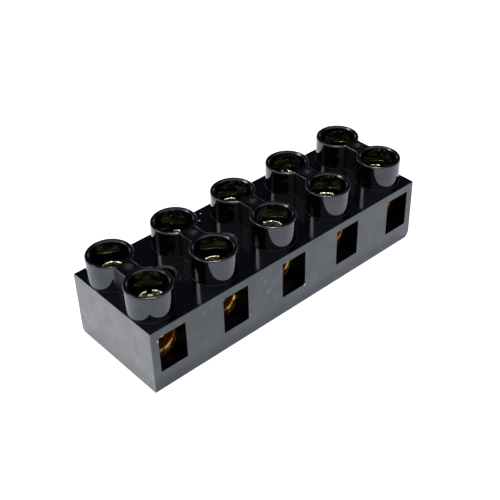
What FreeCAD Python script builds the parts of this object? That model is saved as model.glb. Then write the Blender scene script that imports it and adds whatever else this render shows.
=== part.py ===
import FreeCAD, Part
import math
import os

import Sketcher
from FreeCAD import Placement, Rotation, Vector

# A five-pole terminal strip: one moulded block with two rows of screw barrels,
# a brass contact insert lying across the block under each pair of barrels,
# and two clamp screws that come down through the barrels into each insert.
# +X runs along the row of poles, +Y from the front wire entries to the back ones, +Z up.
# The origin is the middle of the underside, on the surface that the strip rests on.

# Driving sizes in millimetres: alias, value, meaning
SIZES = [
    ("pole_count", 5, "poles in the strip"),
    ("pole_pitch", 12.0, "from one pole to the next"),
    ("end_wall", 1.35, "wall between the last passage and the end face"),
    ("base_thickness", 3.4, "solid floor under the passages"),
    ("roof_thickness", 1.4, "roof over the passages"),
    ("barrel_height", 4.5, "barrels above the roof"),
    ("barrel_wall", 0.7, "wall of a barrel"),
    ("barrel_gap", 2.1, "free space between the two barrels of a pole"),
    ("barrel_ledge", 1.05, "roof left between a barrel and the long side"),
    ("web_width", 3.0, "web that ties the two barrels of a pole"),
    ("web_corner", 0.5, "round where the web meets a barrel"),
    ("foot_round", 0.15, "round at the foot of the barrels and webs"),
    ("lip_round", 0.25, "round on the outer edge of the barrels and webs"),
    ("mouth_chamfer", 0.2, "chamfer at the mouth of a barrel"),
    ("dimple_radius", 0.9, "dimple in the top of each web"),
    ("dimple_depth", 0.35, "depth of that dimple"),
    ("fixing_radius", 1.75, "fixing holes between the poles"),
    ("fixing_chamfer", 0.3, "chamfer on the fixing holes"),
    ("block_edge", 0.15, "round on the outer edges of the block"),
    ("end_round", 1.3, "round under the moulded end of the strip"),
    ("back_round", 0.7, "round along the back of the underside"),
    ("end_stock", 1.0, "moulded past each end and trimmed off"),
    ("insert_setback", 2.95, "from the long side to the end of a centred insert"),
    ("insert_clearance", 0.05, "play of an insert in its passage, each way"),
    ("insert_side_wall", 0.4, "brass beside the wire bore"),
    ("insert_floor_wall", 1.25, "brass under the wire bore"),
    ("insert_top_wall", 1.25, "brass over the wire bore, which holds the thread"),
    ("insert_heel", 0.1, "half of the flat strip left under an insert"),
    ("wire_bore_radius", 2.0, "bore that takes the wires"),
    ("wire_bore_chamfer", 0.2, "lead-in of the wire bore"),
    ("head_radius", 2.2, "head of a clamp screw"),
    ("head_height", 2.0, "height of that head"),
    ("head_edge", 0.3, "rounded edge of that head"),
    ("head_clearance", 0.75, "play of a head in its barrel, each side"),
    ("slot_width", 0.8, "driver slot"),
    ("slot_depth", 0.9, "depth of that slot"),
    ("thread_radius", 1.5, "threaded shank of a clamp screw"),
    ("thread_clearance", 0.05, "play of the shank in its threaded hole"),
    ("tip_chamfer", 0.35, "chamfer on the shank's tip"),
    ("tip_gap", 0.5, "left under the tip when a head is right down"),
]

# How far each clamp screw is backed out from its lowest place, and where its slot points,
# read pole by pole from the photograph: millimetres and degrees
FRONT_SCREWS = [(1.20, 62.0), (0.80, 20.0), (1.00, 100.0), (0.85, 145.0), (0.95, 8.0)]
BACK_SCREWS = [(1.05, 125.0), (0.60, 75.0), (0.75, 15.0), (0.80, 50.0), (0.70, 160.0)]

# Each insert, and the two screws in it, can shift along its passage as far as the screw heads
# have play. This is where each one sits, as a share of that play, read from the photograph
INSERT_SHIFTS = [-0.55, -0.20, 0.60, 0.30, 0.42]

# Sizes that follow from the driving ones, as expressions over the sheet
HALF_ROW = "((Sizes.pole_count - 1) * Sizes.pole_pitch / 2)"
BORE_RADIUS = "(Sizes.head_radius + Sizes.head_clearance)"
BARREL_RADIUS = f"({BORE_RADIUS} + Sizes.barrel_wall)"
HALF_SPACING = f"({BARREL_RADIUS} + Sizes.barrel_gap / 2)"
INSERT_WIDTH = "(2 * (Sizes.wire_bore_radius + Sizes.insert_side_wall))"
INSERT_HEIGHT = "(2 * Sizes.wire_bore_radius + Sizes.insert_floor_wall + Sizes.insert_top_wall)"
PASSAGE_WIDTH = f"({INSERT_WIDTH} + 2 * Sizes.insert_clearance)"
PASSAGE_HEIGHT = f"({INSERT_HEIGHT} + 2 * Sizes.insert_clearance)"
PASSAGE_ROOF = f"(Sizes.base_thickness + {PASSAGE_HEIGHT})"
BLOCK_LENGTH = f"(2 * {HALF_ROW} + {PASSAGE_WIDTH} + 2 * Sizes.end_wall)"
BLOCK_WIDTH = f"(2 * ({HALF_SPACING} + {BARREL_RADIUS} + Sizes.barrel_ledge))"
BLOCK_HEIGHT = f"({PASSAGE_ROOF} + Sizes.roof_thickness)"
EDGE_MARGIN = "(Sizes.barrel_ledge / 2)"
TOTAL_HEIGHT = f"({BLOCK_HEIGHT} + Sizes.barrel_height)"
INSERT_LENGTH = f"({BLOCK_WIDTH} - 2 * Sizes.insert_setback)"
INSERT_BOTTOM = "(Sizes.base_thickness + Sizes.insert_clearance)"
INSERT_TOP = f"({INSERT_BOTTOM} + {INSERT_HEIGHT})"
WIRE_AXIS = f"({INSERT_BOTTOM} + Sizes.insert_floor_wall + Sizes.wire_bore_radius)"
THREAD_HOLE_RADIUS = "(Sizes.thread_radius + Sizes.thread_clearance)"
SHANK_LENGTH = "(Sizes.insert_top_wall + 2 * Sizes.wire_bore_radius - Sizes.tip_gap)"

NEAR = 1e-4

doc = FreeCAD.newDocument("terminal_strip")
sheet = doc.addObject("Spreadsheet::Sheet", "Sizes")
for row, (alias, value, meaning) in enumerate(SIZES, start=1):
    sheet.set(f"A{row}", meaning)
    sheet.set(f"B{row}", str(value))
    sheet.setAlias(f"B{row}", alias)
doc.recompute()


def value_of(expression):
    """The number that an expression over the sheet gives now."""
    result = sheet.evalExpression(expression)
    return float(getattr(result, "Value", result))


def new_body(label):
    body = doc.addObject("PartDesign::Body", label)
    body.Label = label
    return body


def origin_feature(body, role):
    return next(f for f in body.Origin.OriginFeatures if f.Role == role)


def new_sketch(body, name, role, shift_x="0", lift="0"):
    """A sketch on one of the body's own origin planes, moved along it and off it."""
    sketch = body.newObject("Sketcher::SketchObject", name)
    sketch.AttachmentSupport = [(origin_feature(body, role), "")]
    sketch.MapMode = "FlatFace"
    sketch.setExpression("AttachmentOffset.Base.x", shift_x)
    sketch.setExpression("AttachmentOffset.Base.z", lift)
    return sketch


def place_point(sketch, geometry, point, x, y=None):
    """Ties a point of a sketch to one or two expressions, measured from the sketch's origin."""
    for kind, axis, expression in (("DistanceX", -2, x), ("DistanceY", -1, y)):
        if expression is None:
            continue
        distance = value_of(expression)
        if abs(distance) < NEAR:
            sketch.addConstraint(Sketcher.Constraint("PointOnObject", geometry, point, axis))
            continue
        tie = sketch.addConstraint(Sketcher.Constraint(kind, -1, 1, geometry, point, distance))
        sketch.setExpression(f"Constraints[{tie}]", expression)


def add_outline(sketch, corners):
    """A closed outline of straight lines through corners given as expressions."""
    points = [Vector(value_of(x), value_of(y), 0) for x, y in corners]
    first = sketch.GeometryCount
    for start, end in zip(points, points[1:] + points[:1]):
        sketch.addGeometry(Part.LineSegment(start, end), False)
    count = len(points)
    for index in range(count):
        after = first + (index + 1) % count
        sketch.addConstraint(Sketcher.Constraint("Coincident", first + index, 2, after, 1))
    for index, (x, y) in enumerate(corners):
        place_point(sketch, first + index, 1, x, y)


def add_box(sketch, left, right, bottom, top):
    add_outline(sketch, [(left, bottom), (right, bottom), (right, top), (left, top)])


def add_circle(sketch, x, y, radius):
    centre = Vector(value_of(x), value_of(y), 0)
    circle = sketch.addGeometry(Part.Circle(centre, Vector(0, 0, 1), value_of(radius)), False)
    place_point(sketch, circle, 3, x, y)
    tie = sketch.addConstraint(Sketcher.Constraint("Radius", circle, value_of(radius)))
    sketch.setExpression(f"Constraints[{tie}]", radius)


def pad(body, name, sketch, length, both_sides=False):
    feature = body.newObject("PartDesign::Pad", name)
    feature.Profile = sketch
    if both_sides:
        feature.SideType = "Symmetric"
    feature.setExpression("Length", length)
    doc.recompute()
    return feature


def pocket(body, name, sketch, depth, both_sides=False):
    feature = body.newObject("PartDesign::Pocket", name)
    feature.Profile = sketch
    if both_sides:
        feature.SideType = "Symmetric"
    feature.setExpression("Length", depth)
    doc.recompute()
    return feature


def repeat_along_x(body, name, features, count):
    """Repeats features along the row, one pole pitch apart."""
    pattern = body.newObject("PartDesign::LinearPattern", name)
    pattern.Originals = features
    pattern.Direction = (origin_feature(body, "X_Axis"), [""])
    pattern.Mode = "Spacing"
    pattern.setExpression("Offset", "Sizes.pole_pitch")
    pattern.setExpression("Occurrences", count)
    body.Tip = pattern
    doc.recompute()
    return pattern


def dress_edges(body, kind, name, base, size, chosen):
    """A fillet or chamfer on every edge of the base that the chooser accepts."""
    names = [f"Edge{i}" for i, edge in enumerate(base.Shape.Edges, start=1) if chosen(edge)]
    if not names:
        raise RuntimeError(f"{name} found no edge")
    feature = body.newObject(f"PartDesign::{kind}", name)
    feature.Base = (base, names)
    feature.setExpression("Radius" if kind == "Fillet" else "Size", size)
    doc.recompute()
    return feature


def lies_at_height(edge, height):
    box = edge.BoundBox
    return abs(box.ZMin - height) < NEAR and abs(box.ZMax - height) < NEAR


def curve_of(edge):
    return None if edge.Degenerated else edge.Curve


def circle_radius(edge):
    curve = curve_of(edge)
    return curve.Radius if isinstance(curve, Part.Circle) else 0.0


def is_along(edge, direction):
    curve = curve_of(edge)
    if not isinstance(curve, Part.Line):
        return False
    return abs(abs(curve.Direction.dot(direction)) - 1) < NEAR


# The housing: one moulding
def make_housing():
    body = new_body("housing")
    half_length = value_of(BLOCK_LENGTH) / 2
    half_width = value_of(BLOCK_WIDTH) / 2
    block_top = value_of(BLOCK_HEIGHT)
    rim = value_of(TOTAL_HEIGHT)
    first_pole = f"-{HALF_ROW}"
    first_gap = f"(Sizes.pole_pitch / 2 - {HALF_ROW})"
    gap_count = "Sizes.pole_count - 1"

    outline = new_sketch(body, "block_outline", "XY_Plane")
    add_box(outline, f"-{BLOCK_LENGTH} / 2 - Sizes.end_stock", f"{BLOCK_LENGTH} / 2 + Sizes.end_stock",
            f"-{BLOCK_WIDTH} / 2", f"{BLOCK_WIDTH} / 2")
    block = pad(body, "block", outline, BLOCK_HEIGHT)

    def is_long_edge(edge):
        on_side = abs(abs(edge.BoundBox.YMin) - half_width) < NEAR
        on_face = lies_at_height(edge, block_top) or lies_at_height(edge, 0)
        return is_along(edge, Vector(1, 0, 0)) and on_side and on_face

    def is_back_underside(edge):
        return is_long_edge(edge) and lies_at_height(edge, 0) and edge.BoundBox.YMin > 0

    backed = dress_edges(body, "Fillet", "back_edge", block, "Sizes.back_round", is_back_underside)
    dress_edges(body, "Fillet", "block_edges", backed, "Sizes.block_edge", is_long_edge)

    # Two barrels and the web between them, standing up out of the block
    circles = new_sketch(body, "barrel_circles", "XY_Plane", first_pole)
    add_circle(circles, "0", f"-{HALF_SPACING}", BARREL_RADIUS)
    add_circle(circles, "0", HALF_SPACING, BARREL_RADIUS)
    barrels = pad(body, "barrels", circles, TOTAL_HEIGHT)
    web_plan = new_sketch(body, "web_plan", "XY_Plane", first_pole)
    add_box(web_plan, "-Sizes.web_width / 2", "Sizes.web_width / 2",
            f"-{HALF_SPACING}", HALF_SPACING)
    web = pad(body, "web", web_plan, TOTAL_HEIGHT)
    towers = repeat_along_x(body, "barrel_rows", [barrels, web], "Sizes.pole_count")

    def is_web_corner(edge):
        box = edge.BoundBox
        inner = abs(box.YMin) < value_of(HALF_SPACING)
        return is_along(edge, Vector(0, 0, 1)) and box.ZMin > block_top - NEAR and inner

    corners = dress_edges(body, "Fillet", "web_corners", towers, "Sizes.web_corner", is_web_corner)

    def is_foot(edge):
        box = edge.BoundBox
        inside = max(box.XMax, -box.XMin) < half_length + value_of("Sizes.end_stock") / 2
        inside = inside and max(box.YMax, -box.YMin) < half_width - value_of(EDGE_MARGIN)
        return lies_at_height(edge, block_top) and inside

    dress_edges(body, "Fillet", "feet", corners, "Sizes.foot_round", is_foot)

    # One end is cut off square; the other has a moulded round underneath
    cut = new_sketch(body, "cut_end_outline", "XZ_Plane")
    add_box(cut, f"-{BLOCK_LENGTH} / 2 - 2 * Sizes.end_stock", f"-{BLOCK_LENGTH} / 2",
            "-Sizes.end_stock", f"{TOTAL_HEIGHT} + Sizes.end_stock")
    pocket(body, "cut_end", cut, f"2 * {BLOCK_WIDTH}", both_sides=True)
    moulded = new_sketch(body, "moulded_end_outline", "XZ_Plane")
    add_rounded_end(moulded)
    pocket(body, "moulded_end", moulded, f"2 * {BLOCK_WIDTH}", both_sides=True)

    # Screw bores, open from the rims down into the passages
    mouths = new_sketch(body, "bore_circles", "XY_Plane", first_pole, TOTAL_HEIGHT)
    add_circle(mouths, "0", f"-{HALF_SPACING}", BORE_RADIUS)
    add_circle(mouths, "0", HALF_SPACING, BORE_RADIUS)
    bores = pocket(body, "bores", mouths, f"{TOTAL_HEIGHT} - {PASSAGE_ROOF}")
    repeat_along_x(body, "bore_rows", [bores], "Sizes.pole_count")

    # Square passages that run through from the front wire entries to the back ones
    entry = new_sketch(body, "passage_outline", "XZ_Plane", first_pole)
    add_box(entry, f"-{PASSAGE_WIDTH} / 2", f"{PASSAGE_WIDTH} / 2",
            "Sizes.base_thickness", PASSAGE_ROOF)
    passage = pocket(body, "passage", entry, f"2 * {BLOCK_WIDTH}", both_sides=True)
    repeat_along_x(body, "passages", [passage], "Sizes.pole_count")

    # Fixing holes straight down between the poles
    hole_plan = new_sketch(body, "fixing_circle", "XY_Plane", first_gap, BLOCK_HEIGHT)
    add_circle(hole_plan, "0", "0", "Sizes.fixing_radius")
    hole = pocket(body, "fixing_hole", hole_plan, BLOCK_HEIGHT)
    holes = repeat_along_x(body, "fixing_holes", [hole], gap_count)

    def is_fixing_rim(edge):
        return abs(circle_radius(edge) - value_of("Sizes.fixing_radius")) < NEAR

    eased = dress_edges(body, "Chamfer", "fixing_rims", holes, "Sizes.fixing_chamfer",
                        is_fixing_rim)

    def is_mouth(edge):
        at_rim = lies_at_height(edge, rim)
        return at_rim and abs(circle_radius(edge) - value_of(BORE_RADIUS)) < NEAR

    mouthed = dress_edges(body, "Chamfer", "mouths", eased, "Sizes.mouth_chamfer", is_mouth)

    def is_lip(edge):
        chamfered = value_of(f"{BORE_RADIUS} + Sizes.mouth_chamfer")
        inner = abs(circle_radius(edge) - chamfered) < NEAR
        return lies_at_height(edge, rim) and not inner

    dress_edges(body, "Fillet", "lips", mouthed, "Sizes.lip_round", is_lip)

    # A shallow round dimple in the middle of each web
    lens = new_sketch(body, "dimple_profile", "XZ_Plane", first_pole)
    add_lens(lens, "Sizes.dimple_radius", "Sizes.dimple_depth", TOTAL_HEIGHT)
    dimple = body.newObject("PartDesign::Groove", "dimple")
    dimple.Profile = lens
    dimple.ReferenceAxis = (lens, ["V_Axis"])
    dimple.Angle = 360
    doc.recompute()
    repeat_along_x(body, "dimples", [dimple], "Sizes.pole_count")
    return body


def add_rounded_end(sketch):
    """The waste past the moulded end: straight down the end face, then round under it."""
    face, outer = f"{BLOCK_LENGTH} / 2", f"{BLOCK_LENGTH} / 2 + 2 * Sizes.end_stock"
    low, high = "-Sizes.end_stock", f"{TOTAL_HEIGHT} + Sizes.end_stock"
    start = f"{BLOCK_LENGTH} / 2 - Sizes.end_round"
    corners = [(face, "Sizes.end_round"), (face, high), (outer, high), (outer, low),
               (start, low), (start, "0")]
    points = [Vector(value_of(x), value_of(y), 0) for x, y in corners]
    for begin, end in zip(points, points[1:]):
        sketch.addGeometry(Part.LineSegment(begin, end), False)
    radius = value_of("Sizes.end_round")
    centre = Vector(value_of(start), radius, 0)
    circle = Part.Circle(centre, Vector(0, 0, 1), radius)
    round_arc = sketch.addGeometry(Part.ArcOfCircle(circle, -math.pi / 2, 0), False)
    for index in range(4):
        sketch.addConstraint(Sketcher.Constraint("Coincident", index, 2, index + 1, 1))
    sketch.addConstraint(Sketcher.Constraint("Coincident", 4, 2, round_arc, 1))
    sketch.addConstraint(Sketcher.Constraint("Coincident", round_arc, 2, 0, 1))
    for index, (x, y) in enumerate(corners[:-1]):
        place_point(sketch, index, 1, x, y)
    place_point(sketch, 4, 2, start, "0")
    place_point(sketch, round_arc, 3, start)


def add_lens(sketch, radius, depth, top):
    """Half of a shallow bowl's section: the axis, a flat top line and an arc below."""
    sphere = f"(({radius} ^ 2 + {depth} ^ 2) / (2 * {depth}))"
    height, low = value_of(top), value_of(f"{top} - {depth}")
    ball = value_of(sphere)
    centre = Vector(0, low + ball, 0)
    lowest = Vector(0, low, 0)
    edge_angle = math.atan2(height - centre.y, value_of(radius))
    bowl = Part.ArcOfCircle(Part.Circle(centre, Vector(0, 0, 1), ball), -math.pi / 2, edge_angle)
    rim_point = Vector(value_of(radius), height, 0)
    middle = Vector(0, height, 0)
    arc = sketch.addGeometry(bowl, False)
    lid = sketch.addGeometry(Part.LineSegment(rim_point, middle), False)
    axis = sketch.addGeometry(Part.LineSegment(middle, lowest), False)
    sketch.addConstraint(Sketcher.Constraint("Coincident", arc, 2, lid, 1))
    sketch.addConstraint(Sketcher.Constraint("Coincident", lid, 2, axis, 1))
    sketch.addConstraint(Sketcher.Constraint("Coincident", axis, 2, arc, 1))
    place_point(sketch, lid, 1, radius, top)
    place_point(sketch, lid, 2, "0", top)
    place_point(sketch, axis, 2, "0", f"{top} - {depth}")
    place_point(sketch, arc, 3, "0")


# A contact insert: a brass bar with a round belly, bored through for the wires
def make_insert(number, shift):
    body = new_body(f"contact_insert_{number}")
    section = new_sketch(body, "section", "XZ_Plane")
    add_box(section, f"-{INSERT_WIDTH} / 2", f"{INSERT_WIDTH} / 2", INSERT_BOTTOM, INSERT_TOP)
    add_circle(section, "0", WIRE_AXIS, "Sizes.wire_bore_radius")
    bar = pad(body, "bar", section, INSERT_LENGTH, both_sides=True)
    bottom = value_of(INSERT_BOTTOM)

    def is_belly(edge):
        long_edge = is_along(edge, Vector(0, 1, 0))
        return long_edge and abs(edge.BoundBox.ZMin - bottom) < NEAR

    belly = dress_edges(body, "Fillet", "belly", bar,
                        f"{INSERT_WIDTH} / 2 - Sizes.insert_heel", is_belly)

    def is_bore_mouth(edge):
        return abs(circle_radius(edge) - value_of("Sizes.wire_bore_radius")) < NEAR

    dress_edges(body, "Chamfer", "lead_ins", belly, "Sizes.wire_bore_chamfer", is_bore_mouth)
    circles = new_sketch(body, "thread_circles", "XY_Plane", "0", INSERT_TOP)
    add_circle(circles, "0", f"-{HALF_SPACING}", THREAD_HOLE_RADIUS)
    add_circle(circles, "0", HALF_SPACING, THREAD_HOLE_RADIUS)
    pocket(body, "threaded_holes", circles, "Sizes.insert_top_wall + Sizes.wire_bore_radius")
    pole_shift = f"(Sizes.pole_pitch * {number - 1} - {HALF_ROW})"
    body.setExpression("Placement.Base.x", pole_shift)
    body.setExpression("Placement.Base.y", shift)
    return body


# A clamp screw: cheese head with a driver slot, and a short shank with a chamfered tip
def make_screw(row, number, side, shift, lift, slot_angle):
    body = new_body(f"clamp_screw_{row}_{number}")
    profile = new_sketch(body, "profile", "XZ_Plane")
    add_outline(profile, [
        ("0", "Sizes.head_height"),
        ("Sizes.head_radius", "Sizes.head_height"),
        ("Sizes.head_radius", "0"),
        ("Sizes.thread_radius", "0"),
        ("Sizes.thread_radius", f"Sizes.tip_chamfer - {SHANK_LENGTH}"),
        ("Sizes.thread_radius - Sizes.tip_chamfer", f"-{SHANK_LENGTH}"),
        ("0", f"-{SHANK_LENGTH}"),
    ])
    turned = body.newObject("PartDesign::Revolution", "turned")
    turned.Profile = profile
    turned.ReferenceAxis = (profile, ["V_Axis"])
    turned.Angle = 360
    doc.recompute()

    def is_head_rim(edge):
        return lies_at_height(edge, value_of("Sizes.head_height")) and circle_radius(edge) > 0

    dress_edges(body, "Fillet", "head_round", turned, "Sizes.head_edge", is_head_rim)
    slot_plan = new_sketch(body, "slot_plan", "XY_Plane", "0", "Sizes.head_height")
    add_box(slot_plan, "-1.5 * Sizes.head_radius", "1.5 * Sizes.head_radius",
            "-Sizes.slot_width / 2", "Sizes.slot_width / 2")
    pocket(body, "slot", slot_plan, "Sizes.slot_depth")
    body.setExpression("Placement.Base.x", f"(Sizes.pole_pitch * {number - 1} - {HALF_ROW})")
    body.setExpression("Placement.Base.y", f"{side} * {HALF_SPACING} + {shift}")
    body.setExpression("Placement.Base.z", f"{INSERT_TOP} + Sizes.insert_clearance + {lift}")
    body.Placement.Rotation = Rotation(Vector(0, 0, 1), slot_angle)
    return body


pieces = [make_housing()]
for pole in range(int(value_of("Sizes.pole_count"))):
    insert_shift = f"({INSERT_SHIFTS[pole % len(INSERT_SHIFTS)]} * Sizes.head_clearance)"
    pieces.append(make_insert(pole + 1, insert_shift))
    for row_name, side, screws in (("front", -1, FRONT_SCREWS), ("back", 1, BACK_SCREWS)):
        lift, slot_angle = screws[pole % len(screws)]
        pieces.append(make_screw(row_name, pole + 1, side, insert_shift, lift, slot_angle))
doc.recompute()

for item in doc.Objects:
    if "Invalid" in item.State or "Error" in item.State:
        raise RuntimeError(f"{item.Label} failed: {item.State}")
for piece in pieces:
    if piece.Shape.isNull() or not piece.Shape.isValid() or len(piece.Shape.Solids) != 1:
        raise RuntimeError(f"{piece.Label} is not one valid solid")

os.makedirs("parts", exist_ok=True)
for piece in pieces:
    piece.Shape.exportStep(os.path.join("parts", f"{piece.Label}.step"))
    box = piece.Shape.BoundBox
    print(piece.Label, round(piece.Shape.Volume, 3),
          [round(v, 3) for v in (box.XMin, box.XMax, box.YMin, box.YMax, box.ZMin, box.ZMax)])
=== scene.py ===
import math

import bpy
from mathutils import Matrix, Vector


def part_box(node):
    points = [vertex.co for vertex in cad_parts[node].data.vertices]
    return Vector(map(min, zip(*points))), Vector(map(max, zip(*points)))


# A five-pole terminal strip in gloss black plastic, on a plain white table.
# Metres, in the same frame as the part: +X along the poles, +Y to the back, +Z up.

MM = 0.001
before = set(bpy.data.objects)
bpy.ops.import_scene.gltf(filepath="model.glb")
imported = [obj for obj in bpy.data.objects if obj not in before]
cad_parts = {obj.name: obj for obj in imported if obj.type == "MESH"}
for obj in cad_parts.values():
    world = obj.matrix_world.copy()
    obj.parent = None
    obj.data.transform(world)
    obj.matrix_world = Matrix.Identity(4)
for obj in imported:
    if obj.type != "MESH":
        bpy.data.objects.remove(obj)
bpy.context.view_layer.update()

# Camera, fitted to the block's corners, the entries and the barrel rims in the photograph
CAMERA_PLACE = Vector((-81.345, -92.583, 100.479)) * MM
CAMERA_RIGHT = Vector((0.742947, -0.668979, -0.022315))
CAMERA_FORWARD = Vector((0.521659, 0.599584, -0.606936))
FOCAL_PIXELS = 955.45
PICTURE_PIXELS = 500.0
SENSOR_MM = 36.0
CLIP_NEAR, CLIP_FAR = 0.001, 20.0

# The plastic: gloss outside, duller where the mould is rougher or hands and tools have rubbed
PLASTIC_BASE = "#04050a"
PLASTIC_IOR = 1.65
WALL_ROUGHNESS = 0.03
TOP_ROUGHNESS = 0.12
FOOT_ROUGHNESS = 0.4
RIM_ROUGHNESS = 0.1
LIP_ROUGHNESS = 0.24
WEB_ROUGHNESS = 0.13
WEB_SIDE_ROUGHNESS = 0.45
DIMPLE_ROUGHNESS = 0.55
BORE_ROUGHNESS = 0.09
PASSAGE_ROUGHNESS = 0.3
# Painted reflections: the passages' reddish specular tint stands for the brass light they mirror,
# and the bores' yellow one for the brass heads they mirror
PASSAGE_PAINTED_REFLECTION_TINT = "#cc8ca6"
BORE_PAINTED_REFLECTION_TINT = "#eff0c6"

# How strongly the plastic mirrors, as a share of the shader's own level; the film on the outer
# faces moves it up and down a little
FULL_SHINE = 0.5
INNER_SHINE = 0.3
BORE_SHINE = 1.0
FILM_CHANGE = 0.12
FILM_SIZE = 2.5 * MM
FILM_RANGE = (0.3, 0.7)

# The mould's draft on the upright walls, in radians: about 2 degrees
WALL_DRAFT = 0.035
UPRIGHT_LEAN = 0.05

# The sawn left end, and the flecks on it and on the front side
# The end's pale greys are partly the cut's own matt dullness and partly painted light, made lighter
# to stand for the light that falls on that end
SAWN_PALE_AND_PAINTED_LIGHT = "#7e7b76"
SAWN_DARKER_AND_PAINTED_LIGHT = "#6e6b66"
SAWN_ROUGHNESS = 0.35
SMEAR_RANGE = (0.35, 0.65)
FLECK_COLOUR = "#e2e2e0"
FLECK_SIZE = 0.3 * MM
FLECK_RANGE = (0.58, 0.74)
FLECK_STRENGTH = 0.35
FLECK_ROUGHNESS = 0.5
SIDE_FLECKS = 0.3

# Pale specks, chips and scuffs, and one painted highlight, of the photograph: x, y, z and radius in
# mm, and strength.
# Each one fades between the two shares of its radius
MARK_FADE = (0.4, 1.4)
MARKS = (
    (-4.07, 8.20, 11.40, 0.12, 0.60),
    (-5.46, 6.80, 11.40, 0.14, 0.60),
    (-9.26, -9.40, 3.96, 0.22, 0.40),
    (2.41, -9.40, 3.31, 0.20, 1.00),
    (-18.18, -9.40, 9.77, 0.30, 0.15),
    # Painted highlight: the bright pale spot on the left edge of the first wire entry
    (-26.41, -9.40, 9.40, 0.30, 0.90),
    (-6.04, -9.40, 8.71, 0.45, 0.12),
    (-5.45, -9.40, 6.50, 0.50, 0.10),
    (-3.89, -9.40, 4.59, 0.40, 0.08),
)

# The inserts' drawn bar, whose cut ends are stained, and painted shade that darkens them toward the
# last poles
BORE_BRASS = "#e3a352"
BORE_BRASS_ROUGHNESS = 0.35
CUT_BRASS = "#e0b45c"
CUT_TARNISH = "#6a3610"
CUT_BRASS_ROUGHNESS = 0.45
STAIN_SIZE = 0.9 * MM
STAIN_RANGE = (0.43, 0.57)
PAINTED_SHADE_FROM, PAINTED_SHADE_TO, PAINTED_SHADE_DEEPEST = -4.0 * MM, 16.0 * MM, 0.25

# The screws: turned brass, tarnished in patches, with a shallow dish and small dents in the head;
# the slot's walls and the head's sides carry painted shade
SCREW_BRASS = "#f2e9c8"
# This olive is both the tarnish colour and the painted shade on the slot's walls
SCREW_TARNISH_AND_SHADE = "#5a5a1a"
# Painted shade on the head's sides, in the narrow gap to the bore
SCREW_SIDE_SHADE = "#16150c"
SCREW_ROUGHNESS = 0.26
SLOT_FLOOR_ROUGHNESS = 0.5
TURNING_STRETCH = 0.9
PATCH_SIZE = 0.5 * MM
PATCH_RANGE = (0.4, 0.6)
THREAD_PITCH = 0.5 * MM
THREAD_DEPTH = 0.15 * MM
DISH_INNER = 1.75 * MM
DISH_OUTER = 2.0 * MM
DISH_DEPTH = 0.12 * MM
DENT_SIZE = 0.22 * MM
DENT_DEPTH = 0.05 * MM

# The table and the room, where 1 is white, and the two lamps, in metres and watts
WHITE = "#ffffff"
TABLE_SIZE = 4.0
TABLE_WHITE = "#bcbcbe"
TABLE_SEEN = 0.92
TABLE_MIRRORED = 1.0
MIRRORED_TINT = "#e6effd"
WINDOW_SIDE = Vector((-0.60, -0.70, 0.0)).normalized()
WINDOW_FADE = (-0.15, 0.35)
ROOM_TINT = "#eef2f8"
ROOM_BRIGHT = 0.8
ROOM_DARK = 0.02
WALL_BRIGHT = 1.0
WALL_FADE = (0.05, 0.28)
LAMP_PLACE = Vector((-0.635, 0.552, 0.784))
LAMP_SIZE = 0.29
LAMP_POWER = 2.5
OVERHEAD_PLACE = Vector((0.12, 0.14, 1.0))
OVERHEAD_SIZE = 0.14
OVERHEAD_POWER = 6.2

# Sizes of the part that bound the zones of its looks
POLE_PITCH = 12.0 * MM
ROW_Y = 4.7 * MM
BARREL_HEIGHT = 4.5 * MM
BORE_RADIUS = 2.95 * MM
BARREL_RADIUS = 3.65 * MM
FOOT_ROUND = 0.15 * MM
LIP_ROUND = 0.25 * MM
OUTER_LIP = 0.22 * MM
INNER_LIP = 0.18 * MM
HOLE_CHAMFER = 0.3 * MM
DIMPLE_RADIUS = 0.9 * MM
DIMPLE_REACH = 0.5 * MM
HEAD_HEIGHT = 2.0 * MM
HEAD_RADIUS = 2.2 * MM
HEAD_TOP_BAND = 0.2 * MM
THREAD_RADIUS = 1.5 * MM

# Half of the blend between two zones, margins for faces and for radii, and a place past them all
BLEND = 0.01 * MM
FACE_MARGIN = 0.03 * MM
PLAY = 0.05 * MM
FAR = 1.0

# Places read off the part
LEFT_X, RIGHT_X = (corner.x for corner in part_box("housing"))
SIDE_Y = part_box("housing")[1].y
RIM_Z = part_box("housing")[1].z
TOP_Z = RIM_Z - BARREL_HEIGHT
FOOT_TOP = TOP_Z + FOOT_ROUND + 2 * BLEND
LIP_FOOT = RIM_Z - LIP_ROUND
INSERT_LOW, INSERT_HIGH = (corner.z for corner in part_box("contact_insert_1"))
PASSAGE_LOW, PASSAGE_HIGH = INSERT_LOW - PLAY, INSERT_HIGH + PLAY

# A face counts as facing an axis when its normal has more than this along it
FACING = 0.5


def srgb(code):
    """A hex colour as the linear values that a shader takes."""
    parts = [int(code[i:i + 2], 16) / 255 for i in (1, 3, 5)]
    linear = [c / 12.92 if c <= 0.04045 else ((c + 0.055) / 1.055) ** 2.4 for c in parts]
    return (*linear, 1.0)


def add_node(tree, kind, links=None, **settings):
    """Adds a shader node; settings are its own fields, links are socket values or sockets."""
    node = tree.nodes.new(kind)
    for name, value in settings.items():
        setattr(node, name, value)
    for socket, value in (links or {}).items():
        if isinstance(value, bpy.types.NodeSocket):
            tree.links.new(value, node.inputs[socket])
        else:
            node.inputs[socket].default_value = value
    return node


def math_node(tree, operation, first, second=0.0):
    return add_node(tree, "ShaderNodeMath", {0: first, 1: second}, operation=operation).outputs[0]


def both_of(tree, first, second):
    return math_node(tree, "MULTIPLY", first, second)


def either_of(tree, first, second):
    return math_node(tree, "MAXIMUM", first, second)


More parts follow.
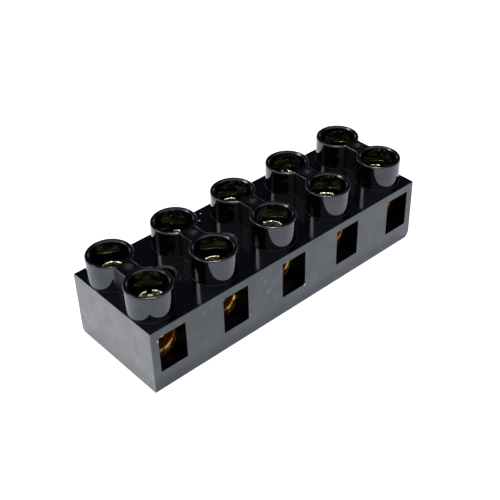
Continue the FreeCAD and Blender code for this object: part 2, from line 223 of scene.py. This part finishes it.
def vector_node(tree, operation, *vectors):
    """A vector operation: a number for a length, distance or dot product, else a vector."""
    node = add_node(tree, "ShaderNodeVectorMath", dict(enumerate(vectors)), operation=operation)
    is_number = operation in ("LENGTH", "DISTANCE", "DOT_PRODUCT")
    return node.outputs["Value" if is_number else "Vector"]


def split(tree, vector):
    return add_node(tree, "ShaderNodeSeparateXYZ", {0: vector}).outputs


def join(tree, x=0.0, y=0.0, z=0.0):
    return add_node(tree, "ShaderNodeCombineXYZ", {0: x, 1: y, 2: z}).outputs[0]


def ramp(tree, value, low, high, start=0.0, end=1.0, ease="LINEAR"):
    """Start up to low, end from high on, and a slope between them."""
    return add_node(tree, "ShaderNodeMapRange", {
        "Value": value, "From Min": low, "From Max": high,
        "To Min": start, "To Max": end}, interpolation_type=ease).outputs["Result"]


def between(tree, value, low, high):
    """1 between low and high, falling to 0 over a blend at each end."""
    rise = ramp(tree, value, low - BLEND, low + BLEND)
    fall = ramp(tree, value, high - BLEND, high + BLEND, 1.0, 0.0)
    return both_of(tree, rise, fall)


def noise(tree, place, size, detail):
    return add_node(tree, "ShaderNodeTexNoise", {
        "Vector": place, "Scale": 1 / size, "Detail": detail}).outputs[0]


def mix_number(tree, share, first, second):
    return add_node(tree, "ShaderNodeMix", {
        "Factor": share, "A": first, "B": second}).outputs["Result"]


def mix_colour(tree, share, first, second):
    """Colours are sockets or linear values."""
    return add_node(tree, "ShaderNodeMix", {
        0: share, 6: first, 7: second}, data_type="RGBA").outputs[2]


def mix_shader(tree, share, first, second):
    return add_node(tree, "ShaderNodeMixShader", {"Fac": share, 1: first, 2: second}).outputs[0]


def object_place(tree):
    return add_node(tree, "ShaderNodeTexCoord").outputs["Object"]


def face_normal(tree):
    return add_node(tree, "ShaderNodeNewGeometry").outputs["Normal"]


def lean(tree, normal, axis):
    """How much of a normal lies along an axis, whichever way it points."""
    return math_node(tree, "ABSOLUTE", split(tree, normal)[axis])


def new_material(name):
    material = bpy.data.materials.new(name)
    material.use_nodes = True
    material.node_tree.nodes.clear()
    return material, material.node_tree


def finish_surface(tree, shader):
    add_node(tree, "ShaderNodeOutputMaterial", {"Surface": shader})


def paint(names, material):
    for name in names:
        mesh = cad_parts[name].data
        mesh.materials.clear()
        mesh.materials.append(material)


def plastic_finish(tree, place, axes):
    """How dull the plastic is on each kind of face, how much it shines and in what tint; the tint
    in the passages and bores is a painted reflection of the brass.
    """
    height = axes["Z"]
    across = math_node(tree, "ABSOLUTE", axes["Y"])
    pole_x = add_node(tree, "ShaderNodeMath", {
        0: axes["X"], 1: POLE_PITCH / 2, 2: -POLE_PITCH / 2}, operation="WRAP").outputs[0]
    from_bore = join(tree, pole_x, math_node(tree, "SUBTRACT", across, ROW_Y))
    from_axis = vector_node(tree, "LENGTH", from_bore)
    from_middle = vector_node(tree, "LENGTH", join(tree, pole_x, axes["Y"]))

    outside = math_node(tree, "GREATER_THAN", from_axis, BORE_RADIUS + 2 * BLEND)
    off_ring = math_node(tree, "GREATER_THAN", from_axis, BARREL_RADIUS + PLAY)
    top_face = both_of(tree, between(tree, height, TOP_Z - BLEND, TOP_Z + BLEND), outside)
    feet = both_of(tree, between(tree, height, TOP_Z + 2 * BLEND, FOOT_TOP), outside)
    hole_depth = between(tree, height, TOP_Z - HOLE_CHAMFER - 2 * BLEND, TOP_Z - 2 * BLEND)
    hole_rims = both_of(tree, hole_depth, between(tree, across, -FAR, ROW_Y / 2))
    bores = both_of(tree, between(tree, height, PASSAGE_HIGH, LIP_FOOT),
                    math_node(tree, "SUBTRACT", 1.0, outside))
    rims = between(tree, height, LIP_FOOT, FAR)
    lips = either_of(tree,
                     math_node(tree, "GREATER_THAN", from_axis, BARREL_RADIUS - OUTER_LIP),
                     math_node(tree, "LESS_THAN", from_axis, BORE_RADIUS + INNER_LIP))
    lips = both_of(tree, rims, lips)
    webs = both_of(tree, rims, off_ring)
    web_sides = both_of(tree, between(tree, height, FOOT_TOP, LIP_FOOT), off_ring)
    dimples = both_of(tree, between(tree, height, RIM_Z - DIMPLE_REACH, FAR),
                      math_node(tree, "LESS_THAN", from_middle, DIMPLE_RADIUS))
    inside_sides = between(tree, across, -FAR, SIDE_Y - FACE_MARGIN)
    inside_ends = between(tree, axes["X"], LEFT_X + FACE_MARGIN, RIGHT_X - FACE_MARGIN)
    passages = both_of(tree, between(tree, height, PASSAGE_LOW - 2 * BLEND, PASSAGE_HIGH),
                       both_of(tree, inside_sides, inside_ends))

    # Where zones overlap, the later one covers the earlier ones
    roughness = WALL_ROUGHNESS
    for zone, value in (
            (top_face, TOP_ROUGHNESS), (feet, FOOT_ROUGHNESS), (hole_rims, FOOT_ROUGHNESS),
            (bores, BORE_ROUGHNESS), (rims, RIM_ROUGHNESS), (lips, LIP_ROUGHNESS),
            (webs, WEB_ROUGHNESS), (web_sides, WEB_SIDE_ROUGHNESS),
            (dimples, DIMPLE_ROUGHNESS), (passages, PASSAGE_ROUGHNESS)):
        roughness = mix_number(tree, zone, roughness, value)

    inner = either_of(tree, either_of(tree, passages, dimples), either_of(tree, feet, web_sides))
    film = noise(tree, place, FILM_SIZE, detail=4.0)
    shine = ramp(tree, film, *FILM_RANGE,
                 FULL_SHINE - FILM_CHANGE / 2, FULL_SHINE + FILM_CHANGE / 2)
    for zone, share in ((inner, INNER_SHINE), (bores, BORE_SHINE)):
        shine = mix_number(tree, zone, shine, share * FULL_SHINE)

    # The passages and bores get painted reflection tints, reddish and yellow, standing for the
    # brass they mirror
    tint = srgb(WHITE)
    for zone, code in ((passages, PASSAGE_PAINTED_REFLECTION_TINT), (bores, BORE_PAINTED_REFLECTION_TINT)):
        tint = mix_colour(tree, zone, tint, srgb(code))
    return roughness, shine, tint


def marked(tree, place):
    """How strongly each point is marked: specked, chipped, scuffed, and at one place given a
    painted highlight.
    """
    core, edge = MARK_FADE
    total = 0.0
    for x, y, z, radius, strength in MARKS:
        away = vector_node(tree, "DISTANCE", place, (x * MM, y * MM, z * MM))
        spot = ramp(tree, away, core * radius * MM, edge * radius * MM, strength, 0.0)
        total = either_of(tree, total, spot)
    return total


def drafted_normal(tree, height):
    """Tips the normals of the upright walls above the block a little upward, because the mould's
    draft narrows the barrels and widens their bores toward the rims."""
    normal = face_normal(tree)
    upright = both_of(tree, math_node(tree, "LESS_THAN", lean(tree, normal, "Z"), UPRIGHT_LEAN),
                      math_node(tree, "GREATER_THAN", height, TOP_Z))
    up = join(tree, z=both_of(tree, upright, WALL_DRAFT))
    return vector_node(tree, "NORMALIZE", vector_node(tree, "ADD", normal, up))


def make_plastic():
    """Gloss black moulding compound, with the matt face of a saw cut on the left end, whose pale
    grey is partly painted light.
    """
    material, tree = new_material("moulded black plastic")
    place = object_place(tree)
    axes = split(tree, place)
    roughness, shine, tint = plastic_finish(tree, place, axes)
    gloss = add_node(tree, "ShaderNodeBsdfPrincipled", {
        "Base Color": srgb(PLASTIC_BASE), "Roughness": roughness, "IOR": PLASTIC_IOR,
        "Specular IOR Level": shine, "Specular Tint": tint,
        "Normal": drafted_normal(tree, axes["Z"])})

    smear = ramp(tree, noise(tree, place, FILM_SIZE, detail=6.0), *SMEAR_RANGE)
    # The sawn end's pale colours are partly painted light for the light falling on it
    sawn_matt_and_light = add_node(tree, "ShaderNodeBsdfPrincipled", {
        "Base Color": mix_colour(tree, smear, srgb(SAWN_DARKER_AND_PAINTED_LIGHT), srgb(SAWN_PALE_AND_PAINTED_LIGHT)),
        "Roughness": SAWN_ROUGHNESS, "IOR": PLASTIC_IOR})
    sawn = between(tree, axes["X"], -FAR, LEFT_X + 2 * BLEND)
    both = mix_shader(tree, sawn, gloss.outputs[0], sawn_matt_and_light.outputs[0])

    flecks = noise(tree, place, FLECK_SIZE, detail=2.0)
    fleck = ramp(tree, flecks, *FLECK_RANGE, 0.0, FLECK_STRENGTH)
    front = between(tree, axes["Y"], -FAR, 2 * BLEND - SIDE_Y)
    flat_faces = either_of(tree, sawn, both_of(tree, front, SIDE_FLECKS))
    fleck = both_of(tree, fleck, both_of(tree, flat_faces, smear))
    pale = add_node(tree, "ShaderNodeBsdfPrincipled", {
        "Base Color": srgb(FLECK_COLOUR), "Roughness": FLECK_ROUGHNESS, "IOR": PLASTIC_IOR})
    # The pale marks include one painted highlight at the first wire entry
    wear_and_highlight = either_of(tree, fleck, marked(tree, place))
    finish_surface(tree, mix_shader(tree, wear_and_highlight, both, pale.outputs[0]))
    return material


def make_insert_brass():
    """Brass bar: bright where it was bored, dull where it was cut, and darker at the last poles,
    which is painted shade.
    """
    material, tree = new_material("bored brass")
    place = object_place(tree)
    cut = math_node(tree, "GREATER_THAN", lean(tree, face_normal(tree), "Y"), FACING)
    stain = ramp(tree, noise(tree, place, STAIN_SIZE, detail=4.0), *STAIN_RANGE)
    # Painted shade: the cut ends take more of the dark stain colour toward the last poles, where
    # less light reaches them
    painted_light_level = ramp(tree, split(tree, place)["X"], PAINTED_SHADE_FROM, PAINTED_SHADE_TO, 1.0, PAINTED_SHADE_DEEPEST)
    cut_colour = mix_colour(tree, both_of(tree, stain, painted_light_level),
                            srgb(CUT_TARNISH), srgb(CUT_BRASS))
    shader = add_node(tree, "ShaderNodeBsdfPrincipled", {
        "Base Color": mix_colour(tree, cut, srgb(BORE_BRASS), cut_colour), "Metallic": 1.0,
        "Roughness": mix_number(tree, cut, BORE_BRASS_ROUGHNESS, CUT_BRASS_ROUGHNESS)})
    finish_surface(tree, shader.outputs[0])
    return material


def make_screw_brass():
    """Turned brass: the tool marks run round the axis, and the shank carries its thread."""
    material, tree = new_material("turned brass")
    place = object_place(tree)
    axes = split(tree, add_node(
        tree, "ShaderNodeAttribute", attribute_name="from_axis").outputs["Vector"])
    flat = join(tree, axes["X"], axes["Y"])
    radius = vector_node(tree, "LENGTH", flat)
    round_it = vector_node(tree, "NORMALIZE",
                           vector_node(tree, "CROSS_PRODUCT", (0, 0, 1), flat))

    # The thread: one turn of the wave for each pitch along the axis
    angle = math_node(tree, "ARCTAN2", axes["Y"], axes["X"])
    turns = math_node(tree, "DIVIDE", axes["Z"], THREAD_PITCH / (2 * math.pi))
    wave = math_node(tree, "SINE", math_node(tree, "SUBTRACT", turns, angle))
    shank = both_of(tree, math_node(tree, "LESS_THAN", radius, THREAD_RADIUS + PLAY),
                    math_node(tree, "LESS_THAN", axes["Z"], -PLAY))
    thread = both_of(tree, wave, both_of(tree, shank, THREAD_DEPTH / 2))

    # Tarnished patches, painted shade on the slot's walls and darker painted shade on the sides of
    # the head, and the slot's bright floor
    tarnish = ramp(tree, noise(tree, place, PATCH_SIZE, detail=3.0), *PATCH_RANGE)
    colour = mix_colour(tree, tarnish, srgb(SCREW_TARNISH_AND_SHADE), srgb(SCREW_BRASS))
    below_top = between(tree, axes["Z"], 2 * BLEND, HEAD_HEIGHT - HEAD_TOP_BAND)
    upright = both_of(tree, below_top,
                      math_node(tree, "LESS_THAN", lean(tree, face_normal(tree), "Z"), FACING))
    slot_floor = math_node(tree, "SUBTRACT", below_top, upright)
    shaded_side = both_of(tree, upright, math_node(tree, "GREATER_THAN", radius, HEAD_RADIUS - PLAY))
    for zone, code in ((upright, SCREW_TARNISH_AND_SHADE), (shaded_side, SCREW_SIDE_SHADE), (slot_floor, SCREW_BRASS)):
        colour = mix_colour(tree, zone, colour, srgb(code))
    roughness = mix_number(tree, slot_floor, SCREW_ROUGHNESS, SLOT_FLOOR_ROUGHNESS)

    dents = both_of(tree, noise(tree, place, DENT_SIZE, detail=2.0), DENT_DEPTH)
    dish = ramp(tree, radius, DISH_INNER, DISH_OUTER, 0.0, DISH_DEPTH, ease="SMOOTHSTEP")
    relief = math_node(tree, "ADD", math_node(tree, "ADD", thread, dents), dish)
    bump = add_node(tree, "ShaderNodeBump", {"Height": relief, "Distance": 1.0, "Strength": 1.0})
    shader = add_node(tree, "ShaderNodeBsdfPrincipled", {
        "Base Color": colour, "Metallic": 1.0, "Roughness": roughness,
        "Anisotropic": TURNING_STRETCH, "Tangent": round_it, "Normal": bump.outputs[0]})
    finish_surface(tree, shader.outputs[0])
    return material


def mark_axis(name):
    """Stores each point's place from the screw's own axis and the underside of its head."""
    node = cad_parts[name]
    low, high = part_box(name)
    axis = Vector(((low.x + high.x) / 2, (low.y + high.y) / 2, high.z - HEAD_HEIGHT))
    places = []
    for point in node.data.vertices:
        places.extend(node.matrix_world @ point.co - axis)
    attribute = node.data.attributes.new("from_axis", "FLOAT_VECTOR", "POINT")
    attribute.data.foreach_set("vector", places)


def make_table():
    """The white table: shown white, and keeping the strip's shadow."""
    material, tree = new_material("white table")
    diffuse = add_node(tree, "ShaderNodeBsdfDiffuse", {"Color": srgb(TABLE_WHITE)})
    path = add_node(tree, "ShaderNodeLightPath").outputs
    mirrored = either_of(tree, path["Is Glossy Ray"], path["Is Transmission Ray"])
    mirrored = both_of(tree, mirrored, TABLE_MIRRORED)
    seen = both_of(tree, path["Is Camera Ray"], TABLE_SEEN)
    glow = add_node(tree, "ShaderNodeEmission", {
        "Color": mix_colour(tree, path["Is Camera Ray"], srgb(MIRRORED_TINT), srgb(WHITE)),
        "Strength": either_of(tree, mirrored, seen)})
    both = add_node(tree, "ShaderNodeAddShader", {0: diffuse.outputs[0], 1: glow.outputs[0]})
    finish_surface(tree, both.outputs[0])
    bpy.ops.mesh.primitive_plane_add(size=TABLE_SIZE, location=(0, 0, 0))
    table = bpy.context.object
    table.name = "white_table"
    table.data.materials.append(material)


def make_world():
    """A room with its windows behind the camera, a dark far side and a bright band of wall."""
    world = bpy.data.worlds.new("room")
    bpy.context.scene.world = world
    world.use_nodes = True
    tree = world.node_tree
    tree.nodes.clear()
    direction = add_node(tree, "ShaderNodeTexCoord").outputs["Generated"]
    facing = vector_node(tree, "DOT_PRODUCT", direction, WINDOW_SIDE)
    window = ramp(tree, facing, *WINDOW_FADE, ROOM_DARK, ROOM_BRIGHT, ease="SMOOTHSTEP")
    height = split(tree, direction)["Z"]
    wall = ramp(tree, height, *WALL_FADE, WALL_BRIGHT, 0.0, ease="SMOOTHSTEP")
    glow = add_node(tree, "ShaderNodeBackground", {
        "Color": srgb(ROOM_TINT), "Strength": either_of(tree, window, wall)})
    white = add_node(tree, "ShaderNodeBackground", {"Color": srgb(WHITE), "Strength": 1.0})
    is_seen = add_node(tree, "ShaderNodeLightPath").outputs["Is Camera Ray"]
    mixed = mix_shader(tree, is_seen, glow.outputs[0], white.outputs[0])
    add_node(tree, "ShaderNodeOutputWorld", {"Surface": mixed})


def add_lamp(name, place, size, power):
    """A square softbox aimed at the middle of the strip."""
    light = bpy.data.lights.new(name, "AREA")
    light.size = size
    light.energy = power
    lamp = bpy.data.objects.new(name, light)
    bpy.context.collection.objects.link(lamp)
    lamp.location = place
    lamp.rotation_mode = "QUATERNION"
    lamp.rotation_quaternion = (-place).to_track_quat("-Z", "Y")


def make_camera():
    """The camera of the photograph."""
    camera_data = bpy.data.cameras.new("camera")
    camera = bpy.data.objects.new("camera", camera_data)
    bpy.context.collection.objects.link(camera)
    right = CAMERA_RIGHT.normalized()
    forward = CAMERA_FORWARD.normalized()
    up = right.cross(forward).normalized()
    right = forward.cross(up).normalized()
    turn = Matrix((right, up, -forward)).transposed()
    camera.matrix_world = Matrix.Translation(CAMERA_PLACE) @ turn.to_4x4()
    camera_data.sensor_width = SENSOR_MM
    camera_data.lens = SENSOR_MM * FOCAL_PIXELS / PICTURE_PIXELS
    camera_data.clip_start = CLIP_NEAR
    camera_data.clip_end = CLIP_FAR
    bpy.context.scene.camera = camera


inserts = [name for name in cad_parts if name.startswith("contact_insert")]
screws = [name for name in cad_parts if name.startswith("clamp_screw")]
paint(["housing"], make_plastic())
paint(inserts, make_insert_brass())
for screw in screws:
    mark_axis(screw)
paint(screws, make_screw_brass())

make_table()
make_world()
add_lamp("window on the left", LAMP_PLACE, LAMP_SIZE, LAMP_POWER)
add_lamp("lamp overhead", OVERHEAD_PLACE, OVERHEAD_SIZE, OVERHEAD_POWER)
make_camera()
bpy.context.scene.view_settings.view_transform = "Standard"
